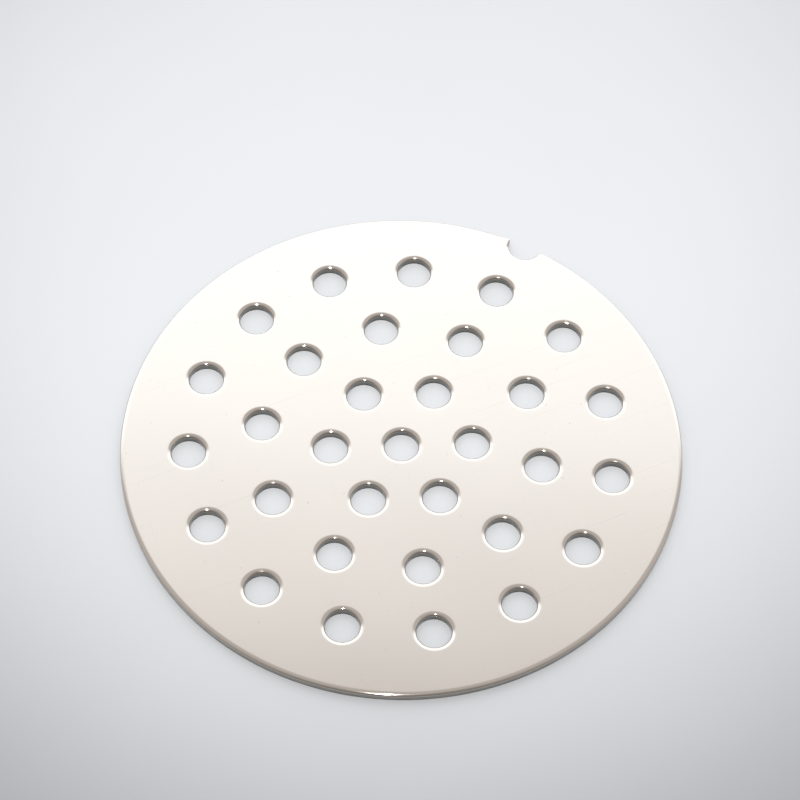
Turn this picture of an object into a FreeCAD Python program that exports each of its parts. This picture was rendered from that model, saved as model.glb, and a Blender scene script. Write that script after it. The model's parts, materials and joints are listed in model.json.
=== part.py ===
import FreeCAD, Part
import math
import os

# Round floor drain grate: one punched disc of stainless steel sheet with a lift notch.
#
# A single press stroke blanks the disc and pierces it, so every cut edge, at the rim, in
# the notch and in the holes, is rounded at the top and square at the underside. The disc
# drops into the round rebate of a floor drain and rests there on its underside, held only
# by its own weight. A hook or a flat blade in the notch lifts it out.
#
# Millimetres, +Z up. The origin is on the disc's axis, at the underside. The notch is at +Y.

# The sheet and its outline
PLATE_DIAMETER = 99.0
SHEET_THICKNESS = 1.5
EDGE_ROUND = 0.5  # radius that the press leaves on every upper edge

# Drain holes: one on the axis, then rings that each start in line with the notch
HOLE_DIAMETER = 6.0
HOLE_RINGS = (
    # pitch circle diameter, number of holes
    (25.0, 6),
    (50.0, 10),
    (75.0, 15),
)

# Lift notch: a round bite out of the rim, its two corners rounded in plan
NOTCH_RADIUS = 3.0
NOTCH_DEPTH = 3.2  # from the rim to the bottom of the bite
NOTCH_LEFT_CORNER = 0.6  # radius of the corner at -X
NOTCH_RIGHT_CORNER = 1.0  # radius of the corner at +X

OVERRUN = 1.0  # how far a punch passes beyond each face
NEAR = 0.001  # two places closer than this are the same place

PLATE_RADIUS = PLATE_DIAMETER / 2
NOTCH_CENTRE = PLATE_RADIUS - NOTCH_DEPTH + NOTCH_RADIUS  # its place along +Y
NOTCH_DIRECTION = math.radians(90)


def punch(radius, x, y):
    """A round punch that passes right through the sheet at (x, y)."""
    base = FreeCAD.Vector(x, y, -OVERRUN)
    return Part.makeCylinder(radius, SHEET_THICKNESS + 2 * OVERRUN, base)


def hole_centres():
    """Where the drain holes are: the middle one first, then ring by ring."""
    centres = [(0.0, 0.0)]
    for pitch_diameter, count in HOLE_RINGS:
        for number in range(count):
            angle = NOTCH_DIRECTION + 2 * math.pi * number / count
            x = pitch_diameter / 2 * math.cos(angle)
            y = pitch_diameter / 2 * math.sin(angle)
            centres.append((x, y))
    return centres


def notch_corner(blank, side):
    """The upright edge at one end of the notch's mouth; side is -1 for -X and 1 for +X."""
    # The two circles, of the rim and of the notch, cross at this height along Y.
    y = (PLATE_RADIUS**2 - NOTCH_RADIUS**2 + NOTCH_CENTRE**2) / (2 * NOTCH_CENTRE)
    x = side * math.sqrt(PLATE_RADIUS**2 - y**2)
    middle = FreeCAD.Vector(x, y, SHEET_THICKNESS / 2)
    return [edge for edge in blank.Edges if edge.CenterOfMass.distanceToPoint(middle) < NEAR]


def notched_disc():
    """The blank: a disc with the notch bitten out and the notch's corners rounded."""
    disc = Part.makeCylinder(PLATE_RADIUS, SHEET_THICKNESS)
    blank = disc.cut(punch(NOTCH_RADIUS, 0.0, NOTCH_CENTRE))
    blank = blank.makeFillet(NOTCH_LEFT_CORNER, notch_corner(blank, -1))
    return blank.makeFillet(NOTCH_RIGHT_CORNER, notch_corner(blank, 1))


def grate_plate():
    """The whole plate: the blank, pierced, with every edge of its top face rounded."""
    holes = [punch(HOLE_DIAMETER / 2, x, y) for x, y in hole_centres()]
    plate = notched_disc().cut(holes)
    top_edges = [edge for edge in plate.Edges if edge.BoundBox.ZMin > SHEET_THICKNESS - NEAR]
    return plate.makeFillet(EDGE_ROUND, top_edges)


os.makedirs("parts", exist_ok=True)
plate = grate_plate()
plate.exportStep("parts/grate_plate.step")
box = plate.optimalBoundingBox()
print("valid", plate.isValid(), "solids", len(plate.Solids), "volume", round(plate.Volume, 1))
print("size", round(box.XLength, 3), round(box.YLength, 3), round(box.ZLength, 3))
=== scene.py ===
"""The looks of a round floor drain grate: one punched disc of polished stainless steel sheet.

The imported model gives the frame. This script replaces its one plain solid with a sheet
whose cut edges are shaped as a press leaves them, and lights it for a picture.
"""

import json
import math

import bpy
import numpy as np
from mathutils import Matrix, Vector
from mathutils.geometry import delaunay_2d_cdt


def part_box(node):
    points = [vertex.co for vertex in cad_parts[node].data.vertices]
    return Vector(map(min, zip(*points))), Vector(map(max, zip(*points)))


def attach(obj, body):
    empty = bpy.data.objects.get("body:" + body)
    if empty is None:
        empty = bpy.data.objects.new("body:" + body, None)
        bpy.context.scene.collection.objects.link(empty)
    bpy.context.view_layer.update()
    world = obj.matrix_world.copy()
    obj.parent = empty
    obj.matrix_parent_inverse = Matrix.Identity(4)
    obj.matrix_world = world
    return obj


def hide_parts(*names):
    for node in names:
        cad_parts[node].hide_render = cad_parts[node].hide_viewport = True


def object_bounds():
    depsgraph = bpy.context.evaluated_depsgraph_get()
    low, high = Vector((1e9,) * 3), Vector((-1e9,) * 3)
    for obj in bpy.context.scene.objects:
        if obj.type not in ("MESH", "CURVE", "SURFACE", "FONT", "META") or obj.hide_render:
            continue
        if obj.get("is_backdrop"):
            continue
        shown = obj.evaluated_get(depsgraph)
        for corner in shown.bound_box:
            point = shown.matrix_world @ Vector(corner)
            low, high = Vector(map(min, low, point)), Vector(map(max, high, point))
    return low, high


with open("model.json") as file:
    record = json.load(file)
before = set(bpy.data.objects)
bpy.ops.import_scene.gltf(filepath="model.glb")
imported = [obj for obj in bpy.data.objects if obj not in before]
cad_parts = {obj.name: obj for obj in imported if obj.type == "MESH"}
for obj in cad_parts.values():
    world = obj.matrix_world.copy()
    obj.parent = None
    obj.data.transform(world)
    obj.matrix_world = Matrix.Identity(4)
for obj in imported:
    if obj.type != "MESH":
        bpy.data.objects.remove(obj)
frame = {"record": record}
cad_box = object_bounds()

# ---- The blank and its holes ------------------------------------------------------------
# One disc of 1.5 mm stainless sheet, blanked and pierced in a single press stroke, with a
# round lift notch in its rim. Its plan is a set of outlines, each with the metal on its left.

MM = 0.001
mounts = {mount["name"]: mount for mount in frame["record"]["mounts"]}
plate_low, plate_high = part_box("grate_plate")
THICKNESS = plate_high.z - plate_low.z
RIM_RADIUS = mounts["rim"]["dims"]["r_mm"] * MM
HOLE_RADIUS = mounts["centre_hole"]["dims"]["r_mm"] * MM

HOLE_RINGS = (
    # pitch circle radius, number of holes; each ring starts in line with the notch
    (12.5 * MM, 6),
    (25.0 * MM, 10),
    (37.5 * MM, 15),
)
NOTCH_DIRECTION = math.radians(90)
NOTCH_RADIUS = 3.0 * MM
NOTCH_DEPTH = 3.2 * MM
NOTCH_CENTRE = RIM_RADIUS - NOTCH_DEPTH + NOTCH_RADIUS  # along +Y
LEFT_CORNER = 0.5 * MM  # plan radius of the notch's corner at -X
RIGHT_CORNER = 1.0 * MM  # and at +X

RIM_STEP = 0.45 * MM
NOTCH_STEP = 0.12 * MM
ROLL_WIDTH = 0.93 * MM  # of the rounded-over top of every cut edge, seen in plan
ROLL_AT_CORNER = 0.85  # the same on a corner of the notch, as a share of its plan radius
ROLL_BLEND = 1.5 * MM  # how far beyond the corner the roll takes to regain its width
STEPS_ROUND_HOLE = 80


def arc(centre, radius, start, end, step):
    """Points along a circle's arc, and the directions that lead from them into the metal.

    The point at angle a is centre + radius (cos a, sin a), for equal steps of a from start
    up to, but not including, end. Metal lies inside an arc whose angle grows and outside
    one whose angle falls.
    """
    count = round(abs(end - start) * radius / step)
    angles = np.linspace(start, end, count, endpoint=False)
    outward = np.stack((np.cos(angles), np.sin(angles)), axis=1)
    return np.asarray(centre) + radius * outward, -np.sign(end - start) * outward


def direction(start, end):
    """The direction from one point of the plan to another, as an angle from 0 to 2 pi."""
    return math.atan2(end[1] - start[1], end[0] - start[0]) % math.tau


def corner_centre(side, radius):
    """The centre of the arc that rounds one corner of the notch; side is -1 or 1, as X is.

    The arc touches the rim from inside and the notch from outside, so its centre stands
    RIM_RADIUS - radius from the disc's axis and NOTCH_RADIUS + radius from the notch's.
    """
    from_axis = RIM_RADIUS - radius
    from_notch = NOTCH_RADIUS + radius
    y = (from_axis**2 - from_notch**2 + NOTCH_CENTRE**2) / (2 * NOTCH_CENTRE)
    return side * math.sqrt(from_axis**2 - y**2), y


def roll_widths(points, corners):
    """The width of the roll-over at each point: narrower round each corner of the notch.

    With x the distance beyond the corner's arc over ROLL_BLEND, from 0 to 1, the width goes
    from the corner's to the full one as 3 x squared - 2 x cubed.
    """
    widths = np.full(len(points), ROLL_WIDTH)
    for centre, radius in corners:
        x = np.clip((np.linalg.norm(points - centre, axis=1) - radius) / ROLL_BLEND, 0, 1)
        least = ROLL_AT_CORNER * radius
        widths = np.minimum(widths, least + (ROLL_WIDTH - least) * x * x * (3 - 2 * x))
    return widths


def rim_outline():
    """The disc's outline, anticlockwise: the rim, the +X corner, the notch, the -X corner.

    Gives the points, the directions into the metal and the widths of the roll-over.
    """
    axis = (0.0, 0.0)
    notch = (0.0, NOTCH_CENTRE)
    left = corner_centre(-1, LEFT_CORNER)
    right = corner_centre(1, RIGHT_CORNER)
    rim_start = direction(axis, left)
    rim_end = direction(axis, right)
    arcs = (
        arc(axis, RIM_RADIUS, rim_start, rim_end + math.tau, RIM_STEP),
        arc(right, RIGHT_CORNER, rim_end, direction(right, notch), NOTCH_STEP),
        arc(notch, NOTCH_RADIUS, direction(notch, right), direction(notch, left), NOTCH_STEP),
        arc(left, LEFT_CORNER, direction(left, notch), rim_start, NOTCH_STEP),
    )
    points, inward = (np.concatenate(parts) for parts in zip(*arcs))
    return points, inward, roll_widths(points, ((left, LEFT_CORNER), (right, RIGHT_CORNER)))


def hole_outlines():
    """The outlines of the holes, each clockwise: the middle one first, then ring by ring."""
    centres = [(0.0, 0.0)]
    for pitch_radius, count in HOLE_RINGS:
        for number in range(count):
            angle = NOTCH_DIRECTION + math.tau * number / count
            centres.append((pitch_radius * math.cos(angle), pitch_radius * math.sin(angle)))
    step = math.tau * HOLE_RADIUS / STEPS_ROUND_HOLE
    circles = [arc(centre, HOLE_RADIUS, math.tau, 0.0, step) for centre in centres]
    return [(points, inward, np.full(len(points), ROLL_WIDTH)) for points, inward in circles]


# ---- The cut edges ----------------------------------------------------------------------
# A press pulls the sheet's top down before it cuts. So every cut edge starts with a
# roll-over, goes on as an upright burnished land, and ends in a torn, grainy band.

ROLL_POWER = 2.0
ROLL_STEPS = 15
SCORED_AND_SHADED_FROM = 0.6  # of the way along the roll-over, where the punch starts to score it and where the cut edge's dark tint, partly painted shade, begins
TORN_HEIGHT = 0.4 * MM  # of the torn band, above the underside
TORN_SWAY = 0.05 * MM  # how far its upper limit wanders up and down
TORN_LIP = 0.02 * MM  # height over which land turns to torn metal
TORN_SLOPE = 0.05 * MM  # how far the band falls back from the land by the underside
TORN_GRAIN = 0.007 * MM  # depth of its grains
TORN_STEPS = 3
UNDER_LIP = 0.04 * MM  # width of the underside's edge, over which torn metal turns to face
SWAY_LENGTHS = (6.3 * MM, 2.9 * MM, 1.3 * MM)  # of the waves in that limit
ROLLED, BURNISHED, TORN = 0.0, 1.0, 2.0  # values of the mesh's "zone" attribute
RIM_SHADE_EASING = 0.2  # how much less of the cut edges' zones, and so of their dark tint that is partly painted shade, the rim's edge takes than the holes' edges


def roll_over():
    """Distance in from the land, and depth below the top face, at steps along the roll-over,
    both as shares of its width, and the zone at each step.

    The sheet's tilt grows as a power of the way along it, from level to upright: with the
    power 2 it is a quarter turn of an Euler spiral. Its two coordinates are the running sums
    of the tilt's cosine and sine.
    """
    way = np.linspace(0, 1, 400)
    tilt = math.pi / 2 * way**ROLL_POWER
    middle = (tilt[1:] + tilt[:-1]) / 2
    across = np.concatenate(([0], np.cumsum(np.cos(middle))))
    down = np.concatenate(([0], np.cumsum(np.sin(middle))))
    steps = np.linspace(0, 1, ROLL_STEPS + 1)
    inset = np.interp(steps, way, 1 - across / across[-1])
    zone = np.interp(steps, (SCORED_AND_SHADED_FROM, 1), (ROLLED, BURNISHED))
    return inset, np.interp(steps, way, down / across[-1]), zone


def sway(along, length, dice):
    """A line that wanders between -1 and 1 along a closed outline: a mean of sines, each with
    a whole number of waves round the outline and a phase thrown by the dice."""
    waves = [round(length / wave) for wave in SWAY_LENGTHS]
    sines = [np.sin(math.tau * (n * along / length + dice.random())) for n in waves]
    return np.mean(sines, axis=0)


def cut_edge(outline, inward, widths, shade_easing, dice):
    """The surface of one cut edge: a profile carried along an outline.

    Each profile point has an inset and a height. Its place is the outline's point plus the
    inset along the direction into the metal, at that height. Rows run down from the top
    face to the underside, columns along the outline; the last row, on the underside, keeps
    the torn metal's look from spreading into it. Also gives the zone of each vertex, which
    the rim's edge has less of, so that it takes less of the dark tint that is partly painted shade.
    """
    steps = np.linalg.norm(np.roll(outline, -1, axis=0) - outline, axis=1)
    along = np.cumsum(steps) - steps
    limit = TORN_HEIGHT + TORN_SWAY * sway(along, steps.sum(), dice)
    roll_inset, roll_depth, roll_zone = roll_over()
    fall = np.linspace(0, 1, TORN_STEPS + 1)
    grain = TORN_GRAIN * dice.standard_normal((len(fall), len(along)))
    insets = (
        roll_inset[:, None] * widths,
        np.zeros((1, len(along))),
        TORN_SLOPE * fall[:, None] + np.abs(grain),
        TORN_SLOPE + UNDER_LIP + np.abs(grain[-1:]),
    )
    heights = (
        THICKNESS - roll_depth[:, None] * widths,
        limit[None] + TORN_LIP,
        limit * (1 - fall[:, None]),
        np.zeros((1, len(along))),
    )
    inset, height = np.concatenate(insets), np.concatenate(heights)
    plan = outline + inset[..., None] * inward
    points = np.concatenate((plan, height[..., None]), axis=2)
    zones = np.concatenate((roll_zone, [BURNISHED], np.full(len(fall), TORN), [ROLLED]))
    return points, np.broadcast_to(zones[:, None] * (1 - shade_easing), height.shape)


def strip_faces(grid):
    """Quads between the rows of a grid of vertex numbers, whose last column meets its first."""
    beside = np.roll(grid, -1, axis=1)
    return np.stack((grid[:-1], grid[1:], beside[1:], beside[:-1]), axis=2).reshape(-1, 4)


# ---- The two faces ----------------------------------------------------------------------
# The mill-polished faces of the sheet, pierced by every hole. They are very nearly flat:
# the coil that the sheet came off and the blow of the press leave a slight unevenness.

FACE_GRID = 1.4 * MM
FACE_MARGIN = 0.6 * MM  # clear of the roll-overs
INSIDE_OUTLINE = 1  # the triangulation's output that stops at the outer loop
MERGE_DISTANCE = 1e-6
SHARP = math.radians(40)  # edges that turn by more than this are shaded as corners
WAVES = (
    # length, direction in degrees, height
    (61 * MM, 20, 0.016 * MM),
    (43 * MM, 110, 0.010 * MM),
    (27 * MM, 65, 0.004 * MM),
)


def face_points(hole_centres):
    """Points inside the faces: a grid of equal triangles, kept clear of every cut edge."""
    row_gap = FACE_GRID * math.sqrt(3) / 2
    x, y = np.meshgrid(
        np.arange(-RIM_RADIUS, RIM_RADIUS, FACE_GRID), np.arange(-RIM_RADIUS, RIM_RADIUS, row_gap)
    )
    x[1::2] += FACE_GRID / 2
    points = np.stack((x.ravel(), y.ravel()), axis=1)
    clear = ROLL_WIDTH + FACE_MARGIN
    keep = np.linalg.norm(points, axis=1) < RIM_RADIUS - clear
    keep &= np.linalg.norm(points - (0.0, NOTCH_CENTRE), axis=1) > NOTCH_RADIUS + clear
    for centre in hole_centres:
        keep &= np.linalg.norm(points - centre, axis=1) > HOLE_RADIUS + clear
    return points[keep]


def face_triangles(loops, inner):
    """Triangles that fill the plan inside the first loop, through the inner points.

    A constrained Delaunay triangulation, which keeps every loop's edges. The other loops are
    holes: a triangle with all its corners on one of them lies in the hole, and is left out.
    Numbers the loops' points first, in order, and then the inner points.
    """
    points = np.concatenate((*loops, inner))
    sizes = [len(loop) for loop in loops]
    loop_of = np.repeat(np.arange(len(sizes) + 1), (*sizes, len(inner)))
    number = np.arange(sum(sizes))
    last = np.cumsum(sizes) - 1
    following = number + 1
    following[last] -= sizes
    edges = np.stack((number, following), axis=1)
    corners = [Vector(point) for point in points / MM]
    found = delaunay_2d_cdt(corners, edges.tolist(), [], INSIDE_OUTLINE, MERGE_DISTANCE)
    triangles = np.array(found[2])
    on = loop_of[triangles]
    in_hole = (on == on[:, :1]).all(axis=1) & (on[:, 0] > 0) & (on[:, 0] < len(sizes))
    return triangles[~in_hole]


def unevenness(plan):
    """Height of the sheet's slight waves at each point of the plan: a sum of sines."""
    height = np.zeros(plan.shape[:-1])
    for length, degrees, amount in WAVES:
        angle = math.radians(degrees)
        across = plan @ np.array((math.cos(angle), math.sin(angle)))
        height += amount * np.sin(math.tau * across / length + angle)
    return height


def grate_sheet(name):
    """The whole closed surface: every cut edge, and the two faces between their ends."""
    dice = np.random.default_rng(20)
    outlines = [rim_outline(), *hole_outlines()]
    # The rim's cut edge takes less of the painted shade than the walls of the holes do.
    shade_easing = [RIM_SHADE_EASING] + [0.0] * (len(outlines) - 1)
    edges = [cut_edge(*outline, easing, dice) for outline, easing in zip(outlines, shade_easing)]
    inner = face_points([points.mean(axis=0) for points, _, _ in outlines[1:]])
    grids, quads, first = [], [], 0
    for points, _ in edges:
        rows, columns = points.shape[:2]
        grids.append(first + np.arange(rows * columns).reshape(rows, columns))
        quads.append(strip_faces(grids[-1]))
        first += rows * columns
    top_numbers = np.concatenate([grid[0] for grid in grids] + [first + np.arange(len(inner))])
    first += len(inner)
    low_numbers = np.concatenate([grid[-1] for grid in grids] + [first + np.arange(len(inner))])
    top = top_numbers[face_triangles([points[0, :, :2] for points, _ in edges], inner)]
    low = low_numbers[face_triangles([points[-1, :, :2] for points, _ in edges], inner)]
    level = np.ones((len(inner), 1))
    vertices = np.concatenate(
        [points.reshape(-1, 3) for points, _ in edges]
        + [np.hstack((inner, THICKNESS * level)), np.hstack((inner, 0 * level))]
    )
    zones = np.concatenate([zone.ravel() for _, zone in edges] + [ROLLED * level.ravel()] * 2)
    vertices[:, 2] += unevenness(vertices[:, :2])
    mesh = bpy.data.meshes.new(name)
    faces = np.concatenate(quads).tolist() + top.tolist() + low[:, ::-1].tolist()
    mesh.from_pydata(vertices, [], faces)
    mesh.attributes.new("zone", "FLOAT", "POINT").data.foreach_set("value", zones)
    mesh.set_sharp_from_angle(angle=SHARP)
    sheet = bpy.data.objects.new(name, mesh)
    bpy.context.scene.collection.objects.link(sheet)
    return sheet


# ---- The steel --------------------------------------------------------------------------
# Bright annealed stainless, polished at the mill and a little used: smooth, slightly warm,
# with a film of handling marks, hairline scratches along all directions and a few nicks.

STEEL = (0.8, 0.72, 0.647, 1)
STEEL_FILMED = (0.765, 0.695, 0.632, 1)
STEEL_SOILED = (0.45, 0.42, 0.38, 1)  # in a scratch or under a speck of scale
# The cut edges' tints are partly the metal's own colour and partly painted shade, standing in for
# the shadowed paper and dark surround that the hole walls reflect.
LAND_TINT_AND_SHADE = (0.18, 0.18, 0.168, 1)
TORN_TINT_AND_SHADE = (0.13, 0.13, 0.12, 1)
FACE_ROUGHNESS = 0.065
LAND_ROUGHNESS = 0.055
TORN_ROUGHNESS = 0.55

EVEN = (1, 1, 1)  # a cloud that is as long as it is wide
FILM_BROAD, FILM_FINE = 60, 300  # lumps per metre of the film's broad and fine clouds
FILM_SHARE = 0.7  # of the broad clouds
FILM_ROUGHNESS = 0.05
ROLLING = 2500  # lumps per metre, across the lines that the mill's rolls leave
ROLLING_STRETCH = (18, 1, 1)
ROLLING_TURN = 0.3
ROLLING_ROUGHNESS = 0.03
ROLLING_HEIGHT = 0.00002  # this and the other heights and depths below are in millimetres
STREAKS = 3000  # lumps per metre, across the upright streaks on the land
STREAK_STRETCH = (1, 1, 40)
STREAK_HEIGHT = 0.003
GRAINS = 9000  # lumps per metre, in the torn band
GRAIN_HEIGHT = 0.02
GRAIN_SHINE = 0.3  # share of the land's tint that stays between the darkest grains
HAIRS = (
    # hairline scratches: lumps per metre across, how much longer, turn, least cloud value
    (7000, 150, 0.9, 0.74),
    (8000, 110, 2.3, 0.76),
)
HAIR_SLOPE = 8.0
HAIR_DEPTH = 0.6  # beside a speck's
SPECKS = 1300
SPECK_LEVEL = 0.81
SPECK_SLOPE = 14.0
SOILING = 0.2
WORN_ROUGHNESS = 0.1
WORN_DEPTH = 0.0002


class Value:
    """A number that varies over a surface: a socket that can be added, multiplied and so on."""

    def __init__(self, graph, socket):
        self.graph = graph
        self.socket = socket

    def maths(self, operation, first, second):
        settings = {"operation": operation}
        return self.graph.node("ShaderNodeMath", settings, {0: first, 1: second})[0]

    def __add__(self, other):
        return self.maths("ADD", self, other)

    def __sub__(self, other):
        return self.maths("SUBTRACT", self, other)

    def __rsub__(self, other):
        return self.maths("SUBTRACT", other, self)

    def __mul__(self, other):
        return self.maths("MULTIPLY", self, other)

    def at_least(self, other):
        return self.maths("MAXIMUM", self, other)

    def at_most(self, other):
        return self.maths("MINIMUM", self, other)

    __radd__ = __add__
    __rmul__ = __mul__


class Graph:
    """The nodes of one material or of the world, added one at a time."""

    def __init__(self, owner):
        owner.use_nodes = True
        self.tree = owner.node_tree
        self.tree.nodes.clear()

    def node(self, kind, settings, inputs):
        """Adds a node, makes its settings, gives its sockets their values or links, and
        returns its outputs by name or number."""
        node = self.tree.nodes.new(kind)
        for name, value in settings.items():
            setattr(node, name, value)
        for name, value in inputs.items():
            if isinstance(value, Value):
                self.tree.links.new(value.socket, node.inputs[name])
            else:
                node.inputs[name].default_value = value
        named = {socket.name: Value(self, socket) for socket in reversed(node.outputs)}
        return named | {i: Value(self, socket) for i, socket in enumerate(node.outputs)}

    def noise(self, place, scale, detail):
        """Cloudy noise between 0 and 1, with this many lumps per metre."""
        settings = {"Vector": place, "Scale": scale, "Detail": detail}
        return self.node("ShaderNodeTexNoise", {}, settings)["Fac"]

    def mix(self, amount, first, second):
        """A colour between two others. The Mix node's colour sockets are its 7th and 8th."""
        inputs = {0: amount, 6: first, 7: second}
        return self.node("ShaderNodeMix", {"data_type": "RGBA"}, inputs)[2]


def steel():
    """Polished stainless: one metal whose tint, roughness and fine relief follow its wear and the
    zones of its cut edges, whose dark tint is partly painted shade.
    """
    material = bpy.data.materials.new("polished_stainless")
    graph = Graph(material)
    place = graph.node("ShaderNodeTexCoord", {}, {})["Object"]
    zone = graph.node("ShaderNodeAttribute", {"attribute_name": "zone"}, {})["Fac"]
    torn = (zone - BURNISHED).at_least(0.0)
    cut = zone.at_most(1.0)

    def noise(scale, stretch, turn, detail):
        """Cloudy noise, drawn out by stretch along axes that are turned by an angle."""
        spot = graph.node(
            "ShaderNodeMapping",
            {"vector_type": "TEXTURE"},
            {"Vector": place, "Rotation": (0, 0, turn), "Scale": stretch},
        )[0]
        return graph.noise(spot, scale, detail)

    def only_above(cloud, level, slope):
        """The tops of a cloudy noise, from 0 at this level to 1, and 0 everywhere else."""
        return ((cloud - level) * slope).at_least(0.0).at_most(1.0)

    film = noise(FILM_BROAD, EVEN, 0.0, 3.0) * FILM_SHARE
    film = film + noise(FILM_FINE, EVEN, 0.0, 3.0) * (1 - FILM_SHARE)
    rolling = noise(ROLLING, ROLLING_STRETCH, ROLLING_TURN, 2.0)
    streaks = noise(STREAKS, STREAK_STRETCH, 0.0, 1.0)
    grains = noise(GRAINS, EVEN, 0.0, 2.0)
    scratches = [
        only_above(noise(scale, (longer, 1, 1), turn, 0.0), level, HAIR_SLOPE)
        for scale, longer, turn, level in HAIRS
    ]
    specks = only_above(noise(SPECKS, EVEN, 0.0, 0.0), SPECK_LEVEL, SPECK_SLOPE)
    worn = ((scratches[0] + scratches[1]) * HAIR_DEPTH + specks).at_most(1.0) * (1 - cut)
    tint = graph.mix(film, STEEL, STEEL_FILMED)
    tint = graph.mix(worn * SOILING, tint, STEEL_SOILED)
    # Painted shade: from the roll-over's steep part down, the cut edges take the dark tints, which
    # stand partly for the shade that their walls reflect.
    tint = graph.mix(cut, tint, LAND_TINT_AND_SHADE)
    tint = graph.mix(torn * (1 - GRAIN_SHINE + GRAIN_SHINE * grains), tint, TORN_TINT_AND_SHADE)
    rough = FACE_ROUGHNESS + (film - 0.5) * FILM_ROUGHNESS
    rough = rough + (rolling - 0.5) * ROLLING_ROUGHNESS + worn * WORN_ROUGHNESS
    rough = rough + cut * (LAND_ROUGHNESS - rough) + torn * (TORN_ROUGHNESS - LAND_ROUGHNESS)
    relief = rolling * ROLLING_HEIGHT * (1 - cut) - worn * WORN_DEPTH
    relief = relief + streaks * cut * STREAK_HEIGHT + grains * torn * GRAIN_HEIGHT
    bump = graph.node(
        "ShaderNodeBump", {}, {"Height": relief, "Distance": MM, "Strength": 1.0}
    )["Normal"]
    shader = graph.node(
        "ShaderNodeBsdfPrincipled",
        {},
        {"Base Color": tint, "Roughness": rough, "Metallic": 1.0, "Normal": bump},
    )[0]
    graph.node("ShaderNodeOutputMaterial", {}, {"Surface": shader})
    return material


sheet = grate_sheet("punched_sheet")
sheet.data.materials.append(steel())
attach(sheet, "root")
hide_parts("grate_plate")

# ---- The floor --------------------------------------------------------------------------
# A plain pale sheet of paper, on which the plate lies. It is there for the picture only,
# and is no part of the grate.

FLOOR_HALF = 4.0
FLOOR_DROP = 0.04 * MM  # below the origin, clear of the sheet's slight waves
PAPER = (0.622, 0.63, 0.643, 1)
PAPER_THIN = (0.6, 0.61, 0.626, 1)  # where it is a little thinner
PAPER_ROUGHNESS = 0.9
PAPER_CLOUDS = 25  # lumps per metre, as for the two below
COCKLES, COCKLE_HEIGHT = 14, 1.6  # heights in millimetres
FIBRES, FIBRE_HEIGHT = 2200, 0.004


def paper():
    """Matt white paper, a touch cool, slightly cockled, with faint clouds and fibres."""
    material = bpy.data.materials.new("pale_paper")
    graph = Graph(material)
    place = graph.node("ShaderNodeTexCoord", {}, {})["Object"]
    tint = graph.mix(graph.noise(place, PAPER_CLOUDS, 2.0), PAPER, PAPER_THIN)
    relief = graph.noise(place, COCKLES, 1.5) * COCKLE_HEIGHT
    relief = relief + graph.noise(place, FIBRES, 3.0) * FIBRE_HEIGHT
    bump = graph.node("ShaderNodeBump", {}, {"Height": relief, "Distance": MM, "Strength": 1.0})
    shader = graph.node(
        "ShaderNodeBsdfPrincipled",
        {},
        {"Base Color": tint, "Roughness": PAPER_ROUGHNESS, "Normal": bump["Normal"]},
    )[0]
    graph.node("ShaderNodeOutputMaterial", {}, {"Surface": shader})
    return material


floor_mesh = bpy.data.meshes.new("floor")
corners = [(-1, -1), (1, -1), (1, 1), (-1, 1)]
floor_mesh.from_pydata(
    [(x * FLOOR_HALF, y * FLOOR_HALF, -FLOOR_DROP) for x, y in corners], [], [(0, 1, 2, 3)]
)
floor_mesh.materials.append(paper())
floor = bpy.data.objects.new("floor", floor_mesh)
bpy.context.scene.collection.objects.link(floor)
floor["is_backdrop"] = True

# ---- The camera -------------------------------------------------------------------------
# A long lens looks down on the plate from the side away from the notch, a little to one
# side, and is turned very slightly about its own axis.

VIEW_AZIMUTH = math.radians(26.4)
VIEW_ELEVATION = math.radians(56.9)
VIEW_ROLL = math.radians(1.37)
VIEW_AIM = Vector((-4.62, 8.29, 1.5)) * MM
VIEW_DISTANCE = 515.9 * MM
LENS = 130.5
SENSOR = 36.0

camera = bpy.data.objects.new("camera", bpy.data.cameras.new("camera"))
camera.data.lens = LENS
camera.data.sensor_width = SENSOR
turn = Matrix.Rotation(VIEW_AZIMUTH, 4, "Z")
turn = turn @ Matrix.Rotation(math.pi / 2 - VIEW_ELEVATION, 4, "X")
turn = turn @ Matrix.Rotation(VIEW_ROLL, 4, "Z")
back_off = Matrix.Translation((0, 0, VIEW_DISTANCE))
camera.matrix_world = Matrix.Translation(VIEW_AIM) @ turn @ back_off
bpy.context.scene.collection.objects.link(camera)
bpy.context.scene.camera = camera

# ---- The light --------------------------------------------------------------------------
# A soft studio tent. Its far side, as seen from the camera, glows from the floor up to half
# height; it is greyer overhead and darker behind the camera, where one small lamp stands.

CLOTH = (1.02, 1.0, 0.985, 1)  # tint of the tent itself
DAYLIGHT = (0.9, 1.0, 1.085, 1)  # and of the glow through its far side
OVERHEAD = 0.555  # brightness of the bare cloth
GLOW = 0.955  # what the glow adds to it
GLOW_BEARING = VIEW_AZIMUTH + math.radians(3)  # anticlockwise from +Y
GLOW_ELEVATION = math.radians(0)
GLOW_CORE = math.radians(53)
GLOW_EDGE = math.radians(67.5)
SHADE = 0.3  # how much darker the tent is behind the camera
SHADE_BEARING = VIEW_AZIMUTH + math.pi
SHADE_ELEVATION = math.radians(22)
SHADE_CORE = math.radians(15)
SHADE_EDGE = math.radians(88)


def towards(bearing, elevation):
    """The unit vector towards a point of the tent; the bearing is anticlockwise from +Y."""
    level = math.cos(elevation)
    return Vector((-math.sin(bearing) * level, math.cos(bearing) * level, math.sin(elevation)))


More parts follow.
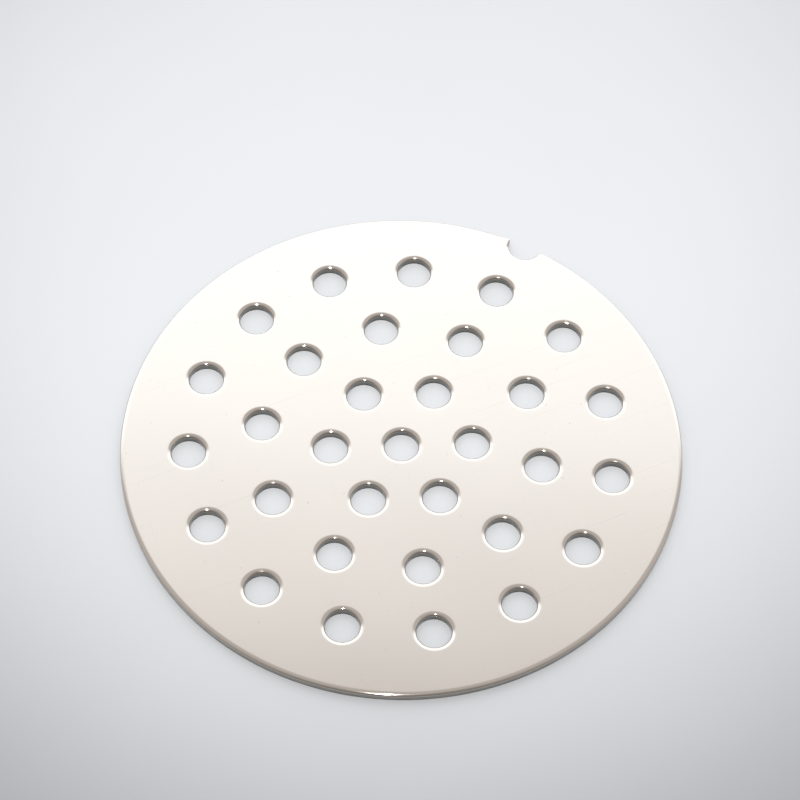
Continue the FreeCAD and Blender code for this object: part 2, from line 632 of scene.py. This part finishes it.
def tent():
    """The tent's inside: grey, with a bright patch and a dark one, both round and soft."""
    world = bpy.data.worlds.new("tent")
    graph = Graph(world)
    outward = graph.node("ShaderNodeTexCoord", {}, {})["Generated"]

    def patch(centre, core, edge):
        """1 within an angle called core of the patch's centre, falling to 0 at the edge."""
        cosine = graph.node(
            "ShaderNodeVectorMath", {"operation": "DOT_PRODUCT"}, {0: outward, 1: centre}
        )["Value"]
        angle = graph.node("ShaderNodeMath", {"operation": "ARCCOSINE"}, {0: cosine})[0]
        return graph.node(
            "ShaderNodeMapRange",
            {"interpolation_type": "SMOOTHSTEP"},
            {"Value": angle, "From Min": edge, "From Max": core},
        )["Result"]

    glow = patch(towards(GLOW_BEARING, GLOW_ELEVATION), GLOW_CORE, GLOW_EDGE)
    shade = patch(towards(SHADE_BEARING, SHADE_ELEVATION), SHADE_CORE, SHADE_EDGE)
    cloth = graph.node(
        "ShaderNodeBackground", {}, {"Color": CLOTH, "Strength": OVERHEAD - SHADE * shade}
    )[0]
    window = graph.node("ShaderNodeBackground", {}, {"Color": DAYLIGHT, "Strength": GLOW * glow})[0]
    both = graph.node("ShaderNodeAddShader", {}, {0: cloth, 1: window})[0]
    graph.node("ShaderNodeOutputWorld", {}, {"Surface": both})
    return world


bpy.context.scene.world = tent()

LAMP_BEARING = VIEW_AZIMUTH + math.radians(175)
LAMP_ELEVATION = math.radians(64)
LAMP_DISTANCE = 0.9
LAMP_POWER = 29.0
LAMP_RADIUS = 0.003
LAMP_CONE = math.radians(18.8)
LAMP_AIM = Vector((-27, 54, 0)) * MM

lamp = bpy.data.lights.new("lamp", "SPOT")
lamp.energy = LAMP_POWER
lamp.shadow_soft_size = LAMP_RADIUS
lamp.spot_size = LAMP_CONE
lamp.spot_blend = 1.0
lamp_object = bpy.data.objects.new("lamp", lamp)
lamp_place = towards(LAMP_BEARING, LAMP_ELEVATION) * LAMP_DISTANCE
lamp_turn = (lamp_place - LAMP_AIM).to_track_quat("Z", "Y").to_matrix().to_4x4()
lamp_object.matrix_world = Matrix.Translation(lamp_place) @ lamp_turn
bpy.context.scene.collection.objects.link(lamp_object)

bpy.context.scene.view_settings.view_transform = "Standard"

boxes = {"cad": cad_box, "visual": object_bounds()}
{name: [list(corner) for corner in box] for name, box in boxes.items()}
